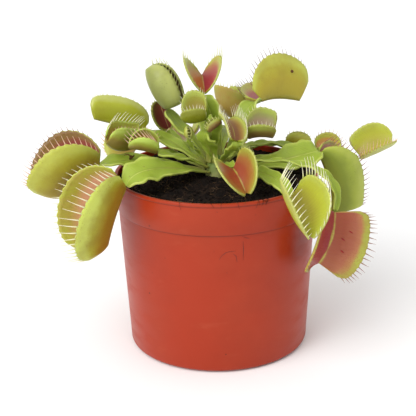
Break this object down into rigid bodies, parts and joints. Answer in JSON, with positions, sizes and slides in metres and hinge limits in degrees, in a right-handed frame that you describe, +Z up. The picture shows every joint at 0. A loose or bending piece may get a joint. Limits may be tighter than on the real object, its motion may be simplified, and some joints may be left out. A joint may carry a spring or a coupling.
{
  "type": "potted venus flytrap",
  "caption": "Venus flytrap with a rosette of waved leaves ending in toothed two-lobed traps, growing in peat in a round terracotta-red nursery pot.",
  "frame": {"origin": "centre of the pot's flat underside", "axes": "+Z up along the pot's axis; -Y towards the pictured side, which shows the front of the plant; +X to that side's right"},
  "size_m": [0.1665, 0.1367, 0.1333],
  "materials": {
    "pot": "satin",
    "peat": "matte",
    "crown": "satin",
    "blade": "satin",
    "lime_trap": "satin",
    "olive_trap": "satin",
    "rust_trap": "satin"
  },
  "bodies": {
    "root": {"pot": "pot", "peat": "peat", "crown": "crown", "upper_left_blade": "blade", "upper_left_trap": "lime_trap", "far_left_blade": "blade", "far_left_trap": "olive_trap", "low_left_blade": "blade", "low_left_trap": "lime_trap", "inner_left_blade": "blade", "inner_left_trap": "lime_trap", "small_left_blade": "blade", "small_left_trap": "olive_trap", "closed_top_blade": "blade", "closed_top_trap": "lime_trap", "dark_small_blade": "blade", "dark_small_trap": "rust_trap", "upright_blade": "blade", "upright_trap": "lime_trap", "top_right_blade": "blade", "top_right_trap": "olive_trap", "back_middle_blade": "blade", "back_middle_trap": "rust_trap", "middle_left_blade": "blade", "middle_left_trap": "lime_trap", "middle_blade": "blade", "middle_trap": "lime_trap", "front_blade": "blade", "front_trap": "lime_trap", "middle_right_blade": "blade", "middle_right_trap": "olive_trap", "front_right_blade": "blade", "front_right_trap": "lime_trap", "right_blade": "blade", "right_trap": "lime_trap", "low_right_blade": "blade", "low_right_trap": "rust_trap", "far_right_blade": "blade", "far_right_trap": "lime_trap", "small_right_blade": "blade", "small_right_trap": "lime_trap", "closed_right_blade": "blade", "closed_right_trap": "olive_trap", "back_right_blade": "blade", "back_right_trap": "lime_trap", "back_blade": "blade", "back_trap": "lime_trap", "back_left_blade": "blade", "back_left_trap": "olive_trap", "centre_blade": "blade", "centre_trap": "lime_trap", "bud_blade": "blade", "bud_trap": "lime_trap"}
  },
  "joints": []
}
